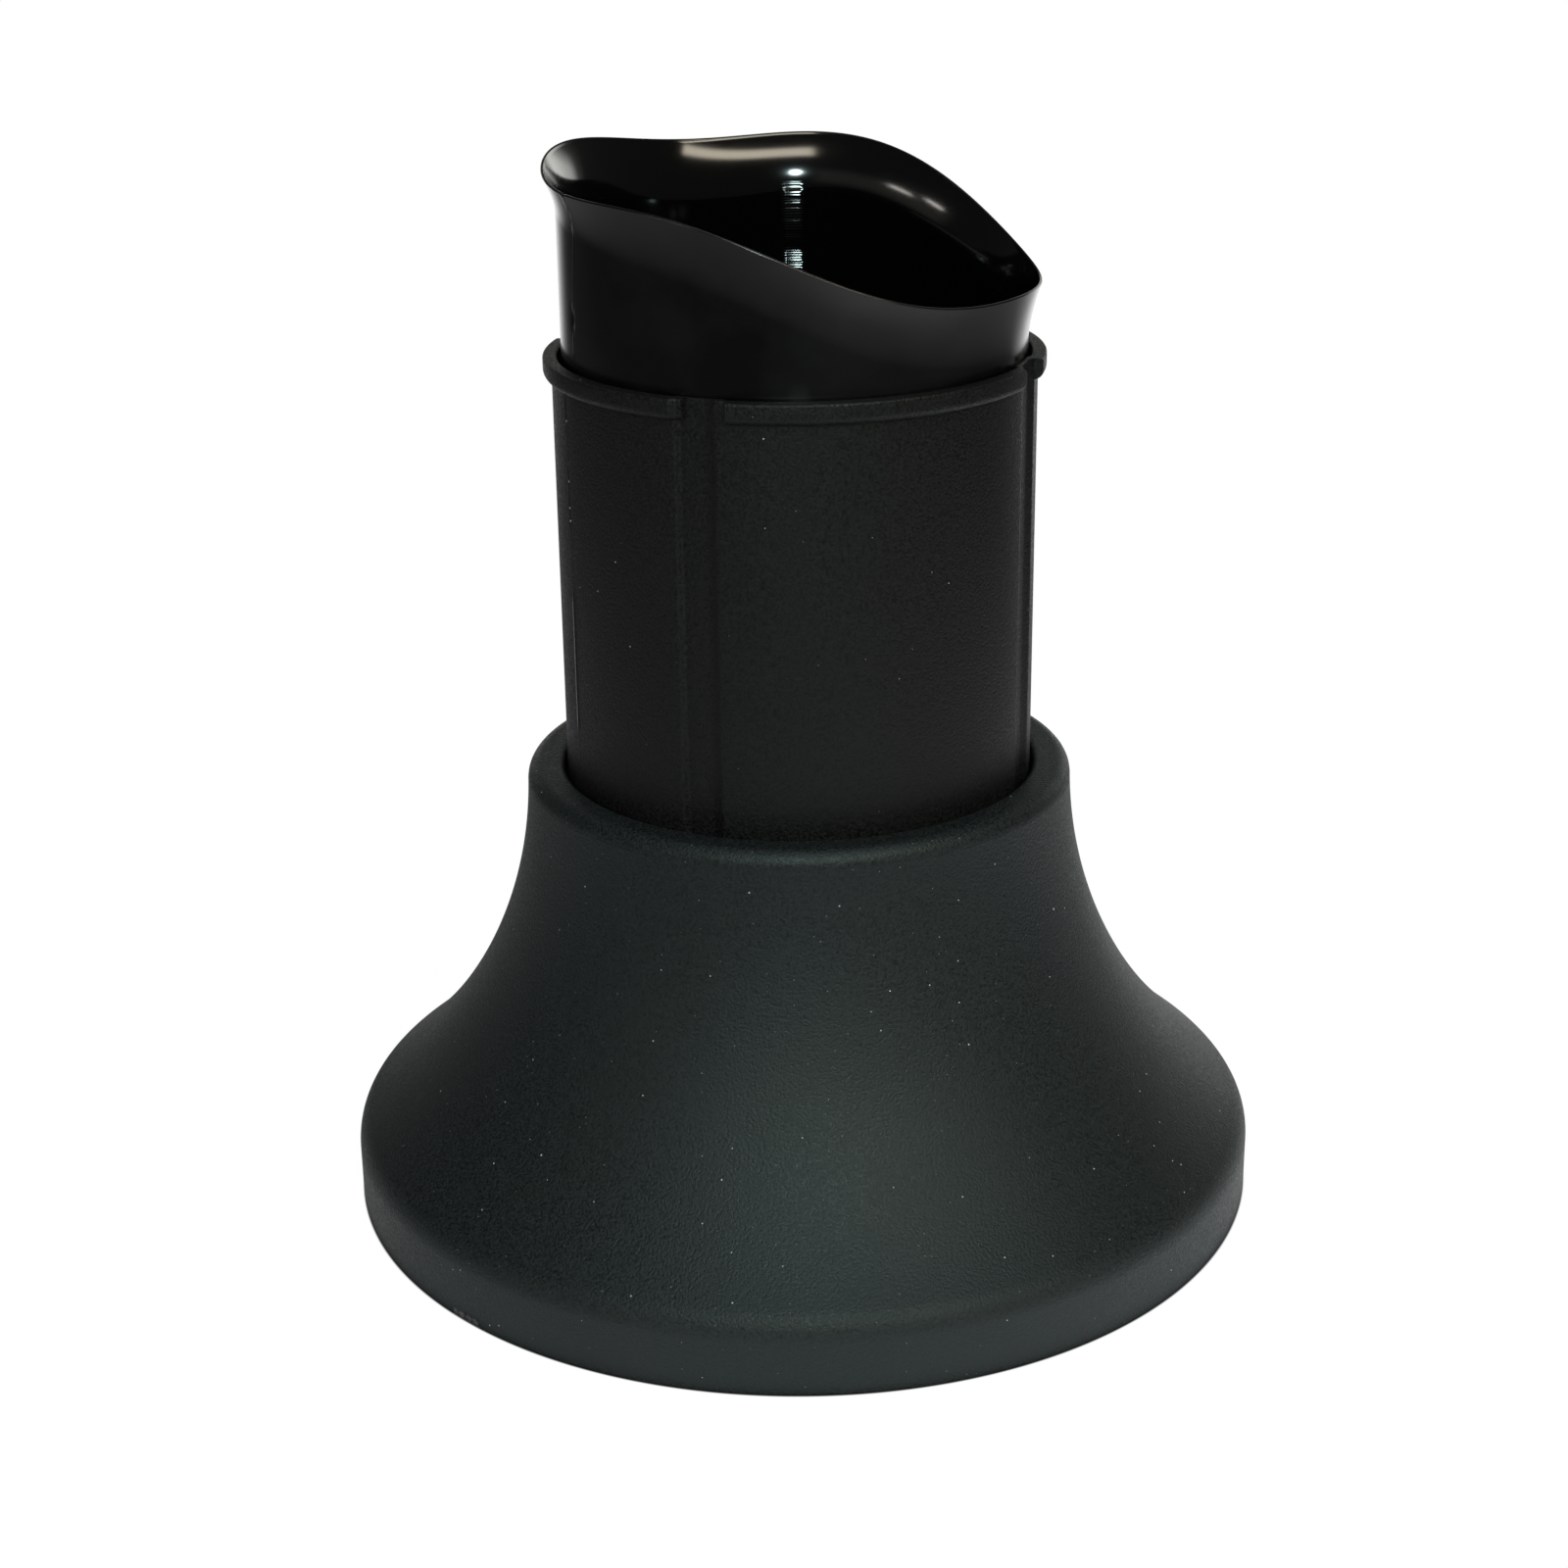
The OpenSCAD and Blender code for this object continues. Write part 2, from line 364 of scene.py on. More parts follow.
def middle_angles():
    """Every degree, and closer together at the ends of the grooves and of the collar."""
    places = [SEAM_ANGLE]
    for centre in GROOVE_CENTRES:
        places += [centre + FINE_AT_LEFT, centre + FINE_AT_RIGHT]
    for low, high in COLLAR_GAPS:
        places += [low - FINE_PAST_GAP, high + FINE_PAST_GAP]
    return all_angles(places)


def middle_section(angle):
    """Section of the middle tube at this angle."""
    rib = rib_share(angle)
    keep = collar_share(angle)
    r = MIDDLE_R - GROOVE_D * groove_share(angle)
    collar_z = MIDDLE_H - COLLAR_H
    width = COLLAR_W * keep
    bore = mix(BORE_R, RIB_R, rib)
    lip_top = MIDDLE_H - STOP_LIP_DROP
    lip_low = lip_top - STOP_LIP_H
    seat_r = MIDDLE_R - SEAT_D
    foot = [(MIDDLE_R - CHAMFER, 0.0), (MIDDLE_R, CHAMFER), (MIDDLE_R, SEAT_LOW), (seat_r, SEAT_LOW),
            (seat_r, SEAT_HIGH), (MIDDLE_R, SEAT_HIGH), (MIDDLE_R, GROOVE_START - GROOVE_LEAD)]
    upright = line((r, GROOVE_START + HALF_EDGE), (r, collar_z), WALL_STEPS)
    wall = [(x + seam_height(angle, z), z) for x, z in upright]
    bead = [(r + width * math.cos(math.radians(a)), collar_z + COLLAR_W * (1 + math.sin(math.radians(a))))
            for a in BEAD_ANGLES]
    edge_r = mix(SMALL_EDGE, COLLAR_EDGE_R, keep)
    edge = arc(r + width - edge_r, MIDDLE_H - edge_r, edge_r, 0, 90, COLLAR_EDGE_STEPS)
    inner_edge = [(bore + SMALL_EDGE, MIDDLE_H), (bore, MIDDLE_H - SMALL_EDGE)]
    lip = [(bore, lip_top + HALF_EDGE), (RIB_R, lip_top - HALF_EDGE), (RIB_R, lip_low),
           (bore, lip_low - LIP_UNDERCUT)]
    return foot + wall + bead + edge + inner_edge + lip + [(bore, CHAMFER), (bore + CHAMFER, 0.0)]


def make_middle_tube():
    obj = ring_mesh("middle_shell", middle_angles(), middle_section)
    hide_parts("middle_tube")
    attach(obj, "middle")
    return obj


# ---------------------------------------------------------------- top tube

def lip_height(angle):
    """Height of the lip: one, two, three and four waves to the turn, added up."""
    return LIP_H + sum(wave * math.cos(math.radians((k + 1) * angle - phase))
                       for k, (wave, phase) in enumerate(zip(LIP_WAVES, LIP_PHASES)))


def top_seam(angle, z, top):
    """The parting line of the top tube, which leans near the lip, with a nick in it and a crease above."""
    place = TOP_SEAM_ANGLE + TOP_SEAM_LEAN * max(0.0, z - NICK_Z)
    line_h = TOP_SEAM_H * near(angle, place, SEAM_HALF)
    tall = band(z, NICK_Z - NICK_TALL, NICK_Z + NICK_TALL, NICK_TALL)
    nick = NICK_CUT * near(angle, place, NICK_HALF) * tall
    high = band(z, top - CREASE_L, top + 1, CREASE_SOFT)
    crease = SEAM_CUT * near(angle, place, CREASE_HALF) * high
    return line_h - nick - crease


def top_section(angle):
    """Section of the top tube at this angle. Its wall thins and curves out into the lip, and the outside
    begins to curve higher up at the left."""
    top = lip_height(angle) - NOTCH_DROP * near(angle, NOTCH_ANGLE, NOTCH_HALF)
    foot_z = top - LIP_CURL
    outer_curl = LIP_CURL - CURL_LESS * near(angle, CURL_LESS_AT, CURL_LESS_HALF)
    outer_z = top - outer_curl
    bore = TOP_R - TOP_WALL
    half = LIP_EDGE / 2
    seat_r = TOP_R - TOP_SEAT_D
    ring_seat = [(bore + CHAMFER, 0.0), (TOP_R - CHAMFER, 0.0), (TOP_R, CHAMFER), (TOP_R, TOP_SEAT_LOW),
                 (seat_r, TOP_SEAT_LOW), (seat_r, TOP_SEAT_HIGH), (TOP_R, TOP_SEAT_HIGH)]
    wall = line((TOP_R, TOP_SEAT_HIGH + TUBE_LEAD), (TOP_R, outer_z), WALL_STEPS)
    shares = [i / LIP_STEPS for i in range(LIP_STEPS + 1)]
    out = [(TOP_R + LIP_OUT * t ** LIP_BEND, outer_z + (outer_curl - half) * t) for t in shares]
    tip_r = TOP_R + LIP_OUT - half
    edge = [(tip_r + half * math.cos(math.radians(a)), top - half + half * math.sin(math.radians(a)))
            for a in LIP_EDGE_ANGLES]
    inner_out = LIP_OUT + TOP_WALL - LIP_EDGE
    back = [(bore + inner_out * t ** LIP_BEND, foot_z + (LIP_CURL - half) * t) for t in shares[::-1]]
    inside = line((bore, foot_z - TUBE_LEAD), (bore, CHAMFER), BORE_STEPS)
    outer = [(r + top_seam(angle, z, top), z) for r, z in wall + out]
    return ring_seat + outer + edge + back + inside + [(bore, CHAMFER)]


def make_top_tube():
    places = [TOP_SEAM_ANGLE + step for step in TOP_SEAM_FINE]
    obj = ring_mesh("top_shell", all_angles(places), top_section)
    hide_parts("top_tube")
    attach(obj, "top")
    return obj


# ---------------------------------------------------------------- materials

def node(tree, kind, inputs=None, **settings):
    """A shader node with its settings, and its sockets set or linked."""
    made = tree.nodes.new(kind)
    for key, value in settings.items():
        setattr(made, key, value)
    for key, value in (inputs or {}).items():
        if isinstance(value, bpy.types.NodeSocket):
            tree.links.new(value, made.inputs[key])
        else:
            made.inputs[key].default_value = value
    return made


def new_material(name):
    """A material with one Principled shader: (material, tree, shader, object coordinates)."""
    material = bpy.data.materials.new(name)
    material.use_nodes = True
    tree = material.node_tree
    shader = tree.nodes["Principled BSDF"]
    place = tree.nodes.new("ShaderNodeTexCoord").outputs["Object"]
    return material, tree, shader, place


def ramp(tree, value, low, high, out_low, out_high):
    """value taken from the range low to high into the range out_low to out_high."""
    made = node(tree, "ShaderNodeMapRange", {"Value": value, "From Min": low, "From Max": high,
                                             "To Min": out_low, "To Max": out_high})
    return made.outputs["Result"]


def blend_colour(tree, factor, a, b):
    """The colour a, going over to b as the factor rises from 0 to 1."""
    made = node(tree, "ShaderNodeMix", data_type="RGBA")
    tree.links.new(factor, made.inputs[0])
    for socket, value in ((made.inputs[6], a), (made.inputs[7], b)):
        if isinstance(value, bpy.types.NodeSocket):
            tree.links.new(value, socket)
        else:
            socket.default_value = value
    return made.outputs[2]


def maths(tree, operation, a, b=0.0):
    return node(tree, "ShaderNodeMath", {0: a, 1: b}, operation=operation).outputs[0]


def soft_window(tree, value, low, high, soft):
    """1 where the value is between low and high, with soft edges."""
    rise = ramp(tree, value, low - soft / 2, low + soft / 2, 0, 1)
    fall = ramp(tree, value, high - soft / 2, high + soft / 2, 1, 0)
    return maths(tree, "MULTIPLY", rise, fall)


def dust(tree, place, cell, size, share):
    """1 in small scattered specks, 0 elsewhere. Cell and speck radius in metres."""
    cells = node(tree, "ShaderNodeTexVoronoi", {"Vector": place, "Scale": 1 / cell}, feature="F1")
    close = ramp(tree, cells.outputs["Distance"], SPECK_CORE * size / cell, size / cell, 1, 0)
    lot = node(tree, "ShaderNodeSeparateColor", {"Color": cells.outputs["Color"]}).outputs["Red"]
    chosen = ramp(tree, lot, 1 - share, 1 - share + SHARE_STEP, 0, 1)
    return maths(tree, "MULTIPLY", close, chosen)


def spot(tree, place, point, radius):
    """1 at a point in millimetres, falling to 0 at the radius."""
    gap = node(tree, "ShaderNodeVectorMath", {0: place, 1: [v * MM for v in point]}, operation="DISTANCE")
    return ramp(tree, gap.outputs["Value"], SPOT_CORE * radius * MM, radius * MM, 1, 0)


def streak(tree, place, angle, half, low, high):
    """1 along an upright line at this angle, between two heights in millimetres."""
    axes = node(tree, "ShaderNodeSeparateXYZ", {"Vector": place})
    turn = maths(tree, "DEGREES", maths(tree, "ARCTAN2", axes.outputs["Y"], axes.outputs["X"]))
    across = soft_window(tree, turn, angle - half, angle + half, half)
    along = soft_window(tree, axes.outputs["Z"], low * MM, high * MM, STREAK_SOFT)
    return maths(tree, "MULTIPLY", across, along)


def on_round(r, angle, z):
    """The point at radius r and this angle and height, in millimetres."""
    return (r * math.cos(math.radians(angle)), r * math.sin(math.radians(angle)), z)


# Colours are linear. The noise settings are those of Blender's noise texture, with scales in turns per
# metre. Depths, drifts and soft edges are in metres.
DUST = (0.8, 0.84, 0.84, 1)
# Colour of the smears on the top tube's outside, and also of the painted highlight streak down its front
SMEAR_AND_PAINTED_HIGHLIGHT = (0.022, 0.025, 0.024, 1)
GLOSS_BLACK = (0.0012, 0.0014, 0.0015, 1)
CLOUD = {"Scale": 45, "Detail": 4, "Roughness": 0.55}
GRAIN = {"Scale": 2900, "Detail": 2, "Roughness": 0.6}
GLOSS_CLOUD = {"Scale": 60, "Detail": 4, "Roughness": 0.6}
NOISE_LOW, NOISE_HIGH = 0.3, 0.7
GRAIN_DARK, GRAIN_LIGHT = 0.35, 0.65
SMEAR_LOW, SMEAR_HIGH, SMEAR_SHARE = 0.45, 0.7, 0.25
GRAIN_ROUGH = 0.15
CLOUD_ROUGH = 0.03
GRAIN_DEPTH = 0.00012
POLISH_LOW, POLISH_HIGH = 0.08, 0.13
OUTWARDS = 0.005
DRIFT_STRETCH = (12, 12, 900)
DRIFT = 0.0004
MARK_SOFT = 0.001
STREAK_SOFT = 0.002
SPECK_CORE = 0.6
SPOT_CORE = 0.5
SHARE_STEP = 0.001

# Dust in three sizes: cell and radius in metres, a factor on the share of cells with a speck, and strength
SPECKS = (
    (0.0012, 0.0001, 1.3, 1.0),
    (0.004, 0.00015, 1.5, 1.0),
    (0.0008, 0.00007, 1.5, 0.35),
)

# The matte plastics: dark and light are the two colours of the grain, and the tint is that of the shine.
BELL_LOOK = {
    "roughness": 0.53,
    "dark": (0.001, 0.0014, 0.0015, 1),
    "light": (0.013, 0.015, 0.016, 1),
    "tint": (0.8, 1, 1, 1),
    "speck_share": 0.1,
}
MIDDLE_LOOK = {
    "roughness": 0.5,
    "dark": (0.001, 0.001, 0.001, 1),
    "light": (0.009, 0.009, 0.009, 1),
    "tint": (0.9, 1, 0.97, 1),
    "speck_share": 0.015,
}
MIDDLE_SHINE = 0.34
RING_LOOK = {
    "roughness": 0.5,
    "dark": (0.03, 0.03, 0.032, 1),
    "light": (0.045, 0.045, 0.048, 1),
    "tint": (1, 1, 1, 1),
    "speck_share": 0,
}
RING_BEVEL = 0.0002


def matte_plastic(name, roughness, dark, light, tint, speck_share, marks=(), lines=()):
    """Charcoal plastic from an etched mould: sparkling fine grain, faint cloudiness, and specks of dust.
    Each mark is a pale scuff (point, radius, strength), and each line a pale upright line (angle, half
    width, low, high, strength)."""
    material, tree, shader, place = new_material(name)
    shader.inputs["Specular Tint"].default_value = tint
    cloud = node(tree, "ShaderNodeTexNoise", {"Vector": place, **CLOUD}).outputs["Fac"]
    grain = node(tree, "ShaderNodeTexNoise", {"Vector": place, **GRAIN}).outputs["Fac"]
    colour = blend_colour(tree, ramp(tree, grain, GRAIN_DARK, GRAIN_LIGHT, 0, 1), dark, light)
    specks = 0.0
    for cell, size, more, strength in SPECKS:
        found = maths(tree, "MULTIPLY", dust(tree, place, cell, size, speck_share * more), strength)
        specks = maths(tree, "MAXIMUM", specks, found)
    for point, radius, strength in marks:
        pale = maths(tree, "MULTIPLY", spot(tree, place, point, radius), strength)
        specks = maths(tree, "MAXIMUM", specks, pale)
    for angle, half, low, high, strength in lines:
        pale = maths(tree, "MULTIPLY", streak(tree, place, angle, half, low, high), strength)
        specks = maths(tree, "MAXIMUM", specks, pale)
    colour = blend_colour(tree, specks, colour, DUST)
    tree.links.new(colour, shader.inputs["Base Color"])
    rough = ramp(tree, grain, NOISE_LOW, NOISE_HIGH, roughness - GRAIN_ROUGH, roughness + GRAIN_ROUGH)
    uneven = ramp(tree, cloud, NOISE_LOW, NOISE_HIGH, -CLOUD_ROUGH, CLOUD_ROUGH)
    tree.links.new(maths(tree, "ADD", rough, uneven), shader.inputs["Roughness"])
    bump = node(tree, "ShaderNodeBump", {"Height": grain, "Strength": 1.0, "Distance": GRAIN_DEPTH})
    tree.links.new(bump.outputs["Normal"], shader.inputs["Normal"])
    return material


def bell_plastic():
    """The bell's plastic, with pale scuffs in the gate scar."""
    scar = [(on_round(BASE_R, SCAR_ANGLE + step, SCAR_PALE_Z), SCAR_PALE_R, SCAR_PALE)
            for step in SCAR_PALE_STEPS]
    return matte_plastic("matte_charcoal", **BELL_LOOK, marks=scar)


def middle_plastic():
    """The middle tube's plastic, with chips and a pale stretch along its parting line."""
    chips = [(on_round(MIDDLE_R, SEAM_ANGLE, z), CHIP_R, 1.0) for z in CHIP_HEIGHTS]
    pale = [(SEAM_ANGLE, SEAM_PALE_HALF, *SEAM_PALE, SEAM_PALENESS)]
    material = matte_plastic("satin_charcoal", **MIDDLE_LOOK, marks=chips, lines=pale)
    shader = material.node_tree.nodes["Principled BSDF"]
    shader.inputs["Specular IOR Level"].default_value = MIDDLE_SHINE
    return material


def facing_out(tree, axes):
    """1 on the outside of a tube and 0 in its bore."""
    across = node(tree, "ShaderNodeCombineXYZ", {"X": axes.outputs["X"], "Y": axes.outputs["Y"]})
    normal = node(tree, "ShaderNodeTexCoord").outputs["Normal"]
    outwards = node(tree, "ShaderNodeVectorMath", {0: normal, 1: across.outputs[0]},
                    operation="DOT_PRODUCT").outputs["Value"]
    return ramp(tree, outwards, -OUTWARDS, OUTWARDS, 0, 1)


def ripple_height(tree, place, axes, outer):
    """The narrow rippled mark down the back of the bore, deepest low down and fainter above."""
    squeezed = node(tree, "ShaderNodeMapping", {"Vector": place, "Scale": DRIFT_STRETCH})
    drift = node(tree, "ShaderNodeTexNoise", {"Vector": squeezed.outputs[0], "Scale": 1, "Detail": 3})
    z = axes.outputs["Z"]
    low, high, end = (height * MM for height in (*RIPPLE_BAND, RIPPLE_TOP))
    shifted = maths(tree, "ADD", z, maths(tree, "MULTIPLY", drift.outputs["Fac"], DRIFT))
    wave = maths(tree, "MULTIPLY", maths(tree, "PINGPONG", shifted, RIPPLE_PITCH / 2), RIPPLE_SLOPE)
    mark = soft_window(tree, axes.outputs["X"], -RIPPLE_HALF, RIPPLE_HALF, MARK_SOFT)
    deep = soft_window(tree, z, low, high, MARK_SOFT)
    faint = soft_window(tree, z, high, end, MARK_SOFT)
    rising = ramp(tree, z, high, end, *RIPPLE_FAINT)
    depth = maths(tree, "ADD", deep, maths(tree, "MULTIPLY", faint, rising))
    behind = ramp(tree, axes.outputs["Y"], 0.0, RIPPLE_BEHIND, 0, 1)
    behind = maths(tree, "MULTIPLY", behind, maths(tree, "SUBTRACT", 1.0, outer))
    depth = maths(tree, "MULTIPLY", maths(tree, "MULTIPLY", depth, mark), behind)
    return maths(tree, "MULTIPLY", wave, depth)


def gloss_plastic():
    """Black plastic, polished in the bore and smeared and less polished outside, with a painted highlight
    streak down the front of the outside.
    """
    material, tree, shader, place = new_material("gloss_black")
    cloud = node(tree, "ShaderNodeTexNoise", {"Vector": place, **GLOSS_CLOUD}).outputs["Fac"]
    axes = node(tree, "ShaderNodeSeparateXYZ", {"Vector": place})
    outer = facing_out(tree, axes)
    smears = maths(tree, "MULTIPLY", outer, ramp(tree, cloud, SMEAR_LOW, SMEAR_HIGH, 0, SMEAR_SHARE))
    # Painted highlight: the flash's streak down the front of the outside, painted into the colour as a pale
    # upright mark
    mark = maths(tree, "MULTIPLY", streak(tree, place, *OUTER_PAINTED_HIGHLIGHT), OUTER_PAINTED_HIGHLIGHT_SHARE)
    colour = blend_colour(tree, maths(tree, "MAXIMUM", smears, mark), GLOSS_BLACK, SMEAR_AND_PAINTED_HIGHLIGHT)
    tree.links.new(colour, shader.inputs["Base Color"])
    polish = ramp(tree, cloud, NOISE_LOW, NOISE_HIGH, POLISH_LOW, POLISH_HIGH)
    rough = maths(tree, "ADD", polish, maths(tree, "MULTIPLY", outer, OUTSIDE_ROUGHER))
    tree.links.new(rough, shader.inputs["Roughness"])
    height = ripple_height(tree, place, axes, outer)
    bump = node(tree, "ShaderNodeBump", {"Height": height, "Strength": 1.0, "Distance": 1.0})
    tree.links.new(bump.outputs["Normal"], shader.inputs["Normal"])
    return material


def soften_edges(obj, width):
    """Round the sharp edges of a ring a little."""
    bevel = obj.modifiers.new("edge", "BEVEL")
    bevel.width = width
    bevel.segments = 2
    bevel.limit_method = "ANGLE"


def put(obj, material):
    obj.data.materials.clear()
    obj.data.materials.append(material)


# ---------------------------------------------------------------- camera, floor and light

# Places and distances are in metres, and angles in degrees.
CAMERA_PLACE = (0.0, -0.3333, 0.182)
CAMERA_PITCH, CAMERA_YAW, CAMERA_ROLL = 20.99, -0.338, -0.723
CAMERA_LENS, CAMERA_SENSOR = 62.57, 36
CAMERA_NEAR, CAMERA_FAR = 0.01, 50

# The part of the surroundings that counts as behind the object, to the left and right of the view
BACK_LEFT, BACK_RIGHT, BACK_SOFT = -26, 40, 20

# The floor's own light: near the object at its left and right, further out, and further out behind.
# Names ending in _AT are the distances between which one level gives way to the next.
FLOOR_HALF = 3.0
FLOOR_PAINT = 0.02
FLOOR_SEEN = 0.99
FLOOR_NEAR = (0.4, 1.0)
FLOOR_NEAR_AT = (-0.08, 0.04)
FLOOR_FADE = (0.12, 0.19)
FLOOR_MIDDLE = 0.28
FLOOR_FAR = 0.045
FLOOR_FAR_AT = (0.2, 0.48)
FLOOR_BEHIND = 0.85
FLOOR_BEYOND = 1.6
FLOOR_BEYOND_AT = (0.34, 0.46)

# Painted shade on the floor: its level under the bell, and how far past the bell's foot the painted shade
# reaches, in
# millimetres: in reflections, and as the camera sees it, where it is a painted contact shadow line at the
# foot
FLOOR_PAINTED_SHADE = 0.03
FLOOR_SHADE = 1.5
FLOOR_PAINTED_CONTACT_LINE = (-0.1, 0.15)

# The room in reflections. Each softbox is a colour, its angles from and to across (0 is towards the camera,
# and plus is to the right), its angles from and to above the horizon, and the softness of its edges.
WHITE = (1, 1, 1, 1)
ROOM = (0.06, 0.06, 0.057)
BEHIND = (0.85, 0.85, 0.8)
BEHIND_FADE = (8, 18)
CEILING = (1.0, 1.1, 1.1)
CEILING_FADE = (67, 80)
WARM_SOFTBOX = ((11.0, 10.0, 8.0), -11, 66, 34, 39.5, 2)
HIGH_SOFTBOX = ((2.0, 2.4, 2.6), -8, 55, 54, 71, 6)
FAINT_PANEL = ((0.2, 0.2, 0.18), -68, -12, 10, 22, 6)
PATCH_BEHIND = ((1.5, 1.5, 1.45), 138, 158, 2, 11, 5)
RIGHT_LAMP = ((17, 16, 15), -50, -41, 20.2, 21.8, 0.8)
LEFT_LAMP = ((17, 16, 15), -64, -55.5, 23.2, 24.8, 0.8)
SOFTBOXES = (WARM_SOFTBOX, HIGH_SOFTBOX, FAINT_PANEL, PATCH_BEHIND, RIGHT_LAMP, LEFT_LAMP)

FLASH_PLACE = (-0.014, -0.335, 0.262)
FLASH_TARGET = (0, 0, 0.06)
FLASH_SIZE = 0.035
FLASH_POWER = 0.25
FLASH_COLOUR = (0.78, 1.0, 1.0)


def make_camera():
    """The camera of the photograph: about 0.38 m away, 21 degrees above the horizon."""
    pitch, yaw, roll = (math.radians(a) for a in (CAMERA_PITCH, CAMERA_YAW, CAMERA_ROLL))
    ahead = math.cos(pitch)
    forward = Vector((math.sin(yaw) * ahead, math.cos(yaw) * ahead, -math.sin(pitch)))
    right = Vector((math.cos(yaw), -math.sin(yaw), 0))
    up = right.cross(forward)
    right, up = (math.cos(roll) * right + math.sin(roll) * up,
                 math.cos(roll) * up - math.sin(roll) * right)
    data = bpy.data.cameras.new("camera")
    data.lens = CAMERA_LENS
    data.sensor_width = CAMERA_SENSOR
    data.clip_start = CAMERA_NEAR
    data.clip_end = CAMERA_FAR
    camera = bpy.data.objects.new("camera", data)
    turn = Matrix((right, up, -forward)).transposed().to_4x4()
    camera.matrix_world = Matrix.Translation(CAMERA_PLACE) @ turn
    bpy.context.scene.collection.objects.link(camera)
    bpy.context.scene.camera = camera


def facing_back(tree, axes):
    """1 behind the object as the camera sees it and 0 elsewhere. It reaches further on the right."""
    turn = maths(tree, "DEGREES", maths(tree, "ARCTAN2", axes.outputs["X"], axes.outputs["Y"]))
    return soft_window(tree, turn, BACK_LEFT, BACK_RIGHT, BACK_SOFT)


def mix_values(tree, factor, a, b):
    """The value a, going over to b as the factor rises from 0 to 1."""
    return node(tree, "ShaderNodeMix", {0: factor, 2: a, 3: b}, data_type="FLOAT").outputs[0]


def floor_light(tree, place):
    """How strongly the floor shines: white to the camera, and darker in reflections, least so near the
    object on the right and far behind it. It is dimmed under the bell as painted shade, which draws a
    painted contact shadow line at its foot."""
    axes = node(tree, "ShaderNodeSeparateXYZ", {"Vector": place})
    distance = node(tree, "ShaderNodeVectorMath", {0: place}, operation="LENGTH").outputs["Value"]
    front = ramp(tree, distance, *FLOOR_FAR_AT, FLOOR_MIDDLE, FLOOR_FAR)
    behind = ramp(tree, distance, *FLOOR_BEYOND_AT, FLOOR_BEHIND, FLOOR_BEYOND)
    beyond = mix_values(tree, facing_back(tree, axes), front, behind)
    close = ramp(tree, axes.outputs["X"], *FLOOR_NEAR_AT, *FLOOR_NEAR)
    glow = mix_values(tree, ramp(tree, distance, *FLOOR_FADE, 0, 1), close, beyond)
    # Painted shade: the floor's own light dimmed under the bell and just past its foot
    shaded = ramp(tree, distance, BASE_R * MM, (BASE_R + FLOOR_SHADE) * MM, FLOOR_PAINTED_SHADE, 1)
    unseen = maths(tree, "MULTIPLY", glow, shaded)
    # Painted contact shadow: a thin dark line at the bell's foot, as the camera sees the floor
    inner, outer = ((BASE_R + step) * MM for step in FLOOR_PAINTED_CONTACT_LINE)
    seen = ramp(tree, distance, inner, outer, FLOOR_PAINTED_SHADE, FLOOR_SEEN)
    sight = node(tree, "ShaderNodeLightPath").outputs["Is Camera Ray"]
    return mix_values(tree, sight, unseen, seen)


def make_floor():
    """A plain floor, much wider than the view."""
    half = FLOOR_HALF
    corners = [(-half, -half, 0), (half, -half, 0), (half, half, 0), (-half, half, 0)]
    mesh = bpy.data.meshes.new("floor")
    mesh.from_pydata(corners, [], [(0, 1, 2, 3)])
    floor = bpy.data.objects.new("floor", mesh)
    bpy.context.scene.collection.objects.link(floor)
    material, tree, shader, place = new_material("pale_floor")
    shader.inputs["Base Color"].default_value = (FLOOR_PAINT, FLOOR_PAINT, FLOOR_PAINT, 1)
    shader.inputs["Roughness"].default_value = 1.0
    shader.inputs["Specular IOR Level"].default_value = 0
    shader.inputs["Emission Color"].default_value = WHITE
    tree.links.new(floor_light(tree, place), shader.inputs["Emission Strength"])
    put(floor, material)


def add_glow(tree, total, mask, colour):
    """total plus a colour where the mask is 1."""
    made = node(tree, "ShaderNodeVectorMath", {0: mask, 1: colour, 2: total}, operation="MULTIPLY_ADD")
    return made.outputs[0]


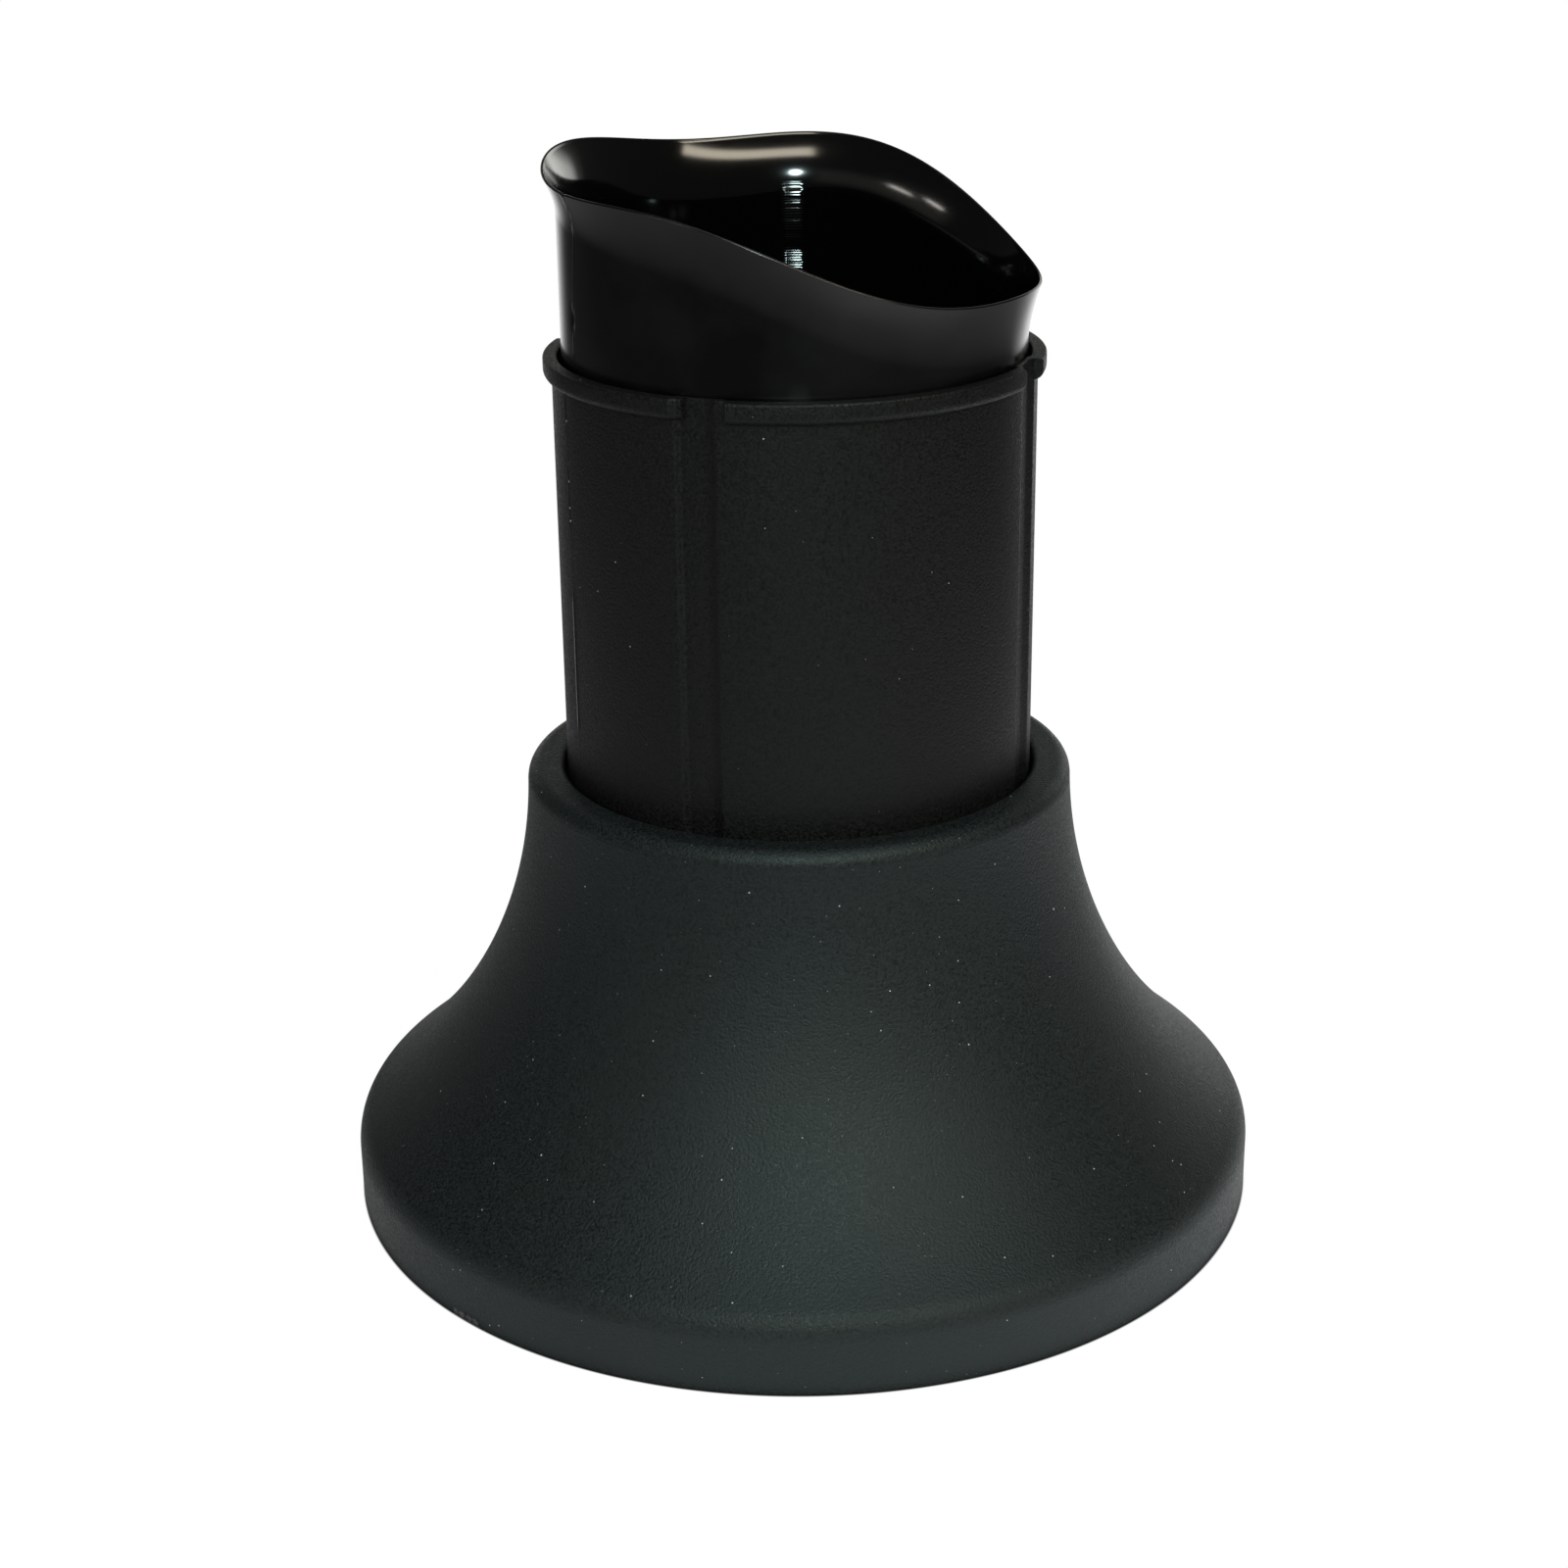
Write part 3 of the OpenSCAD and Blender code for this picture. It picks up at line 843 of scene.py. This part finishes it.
def make_world():
    """The room: white to the camera, and dim in reflections but for its softboxes, the pale ceiling, and
    the light low down behind the object."""
    world = bpy.data.worlds.new("studio")
    bpy.context.scene.world = world
    world.use_nodes = True
    tree = world.node_tree
    background = tree.nodes["Background"]
    direction = node(tree, "ShaderNodeTexCoord").outputs["Generated"]
    axes = node(tree, "ShaderNodeSeparateXYZ", {"Vector": direction})
    forwards = maths(tree, "MULTIPLY", axes.outputs["Y"], -1.0)
    az = maths(tree, "DEGREES", maths(tree, "ARCTAN2", axes.outputs["X"], forwards))
    el = maths(tree, "DEGREES", maths(tree, "ARCSINE", axes.outputs["Z"]))
    low = ramp(tree, el, *BEHIND_FADE, 1, 0)
    total = add_glow(tree, ROOM, maths(tree, "MULTIPLY", facing_back(tree, axes), low), BEHIND)
    total = add_glow(tree, total, ramp(tree, el, *CEILING_FADE, 0, 1), CEILING)
    for colour, az_low, az_high, el_low, el_high, soft in SOFTBOXES:
        across = soft_window(tree, az, az_low, az_high, soft)
        up = soft_window(tree, el, el_low, el_high, soft)
        total = add_glow(tree, total, maths(tree, "MULTIPLY", across, up), colour)
    sight = node(tree, "ShaderNodeLightPath").outputs["Is Camera Ray"]
    tree.links.new(blend_colour(tree, sight, total, WHITE), background.inputs["Color"])


def make_flash():
    """The flash above the camera: a round lamp aimed at the middle of the object."""
    data = bpy.data.lights.new("flash", "AREA")
    data.shape = "DISK"
    data.size = FLASH_SIZE
    data.energy = FLASH_POWER
    data.color = FLASH_COLOUR
    lamp = bpy.data.objects.new("flash", data)
    lamp.location = FLASH_PLACE
    lamp.rotation_mode = "QUATERNION"
    lamp.rotation_quaternion = (Vector(FLASH_PLACE) - Vector(FLASH_TARGET)).to_track_quat("Z", "Y")
    bpy.context.scene.collection.objects.link(lamp)


# ---------------------------------------------------------------- build

make_camera()
put(make_bell(), bell_plastic())
put(make_middle_tube(), middle_plastic())
put(make_top_tube(), gloss_plastic())
ring_plastic = matte_plastic("ring_grey", **RING_LOOK)
for ring in ("middle_stop_ring", "top_stop_ring"):
    put(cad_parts[ring], ring_plastic)
    soften_edges(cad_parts[ring], RING_BEVEL)
make_floor()
make_world()
make_flash()
bpy.context.scene.view_settings.view_transform = "Standard"
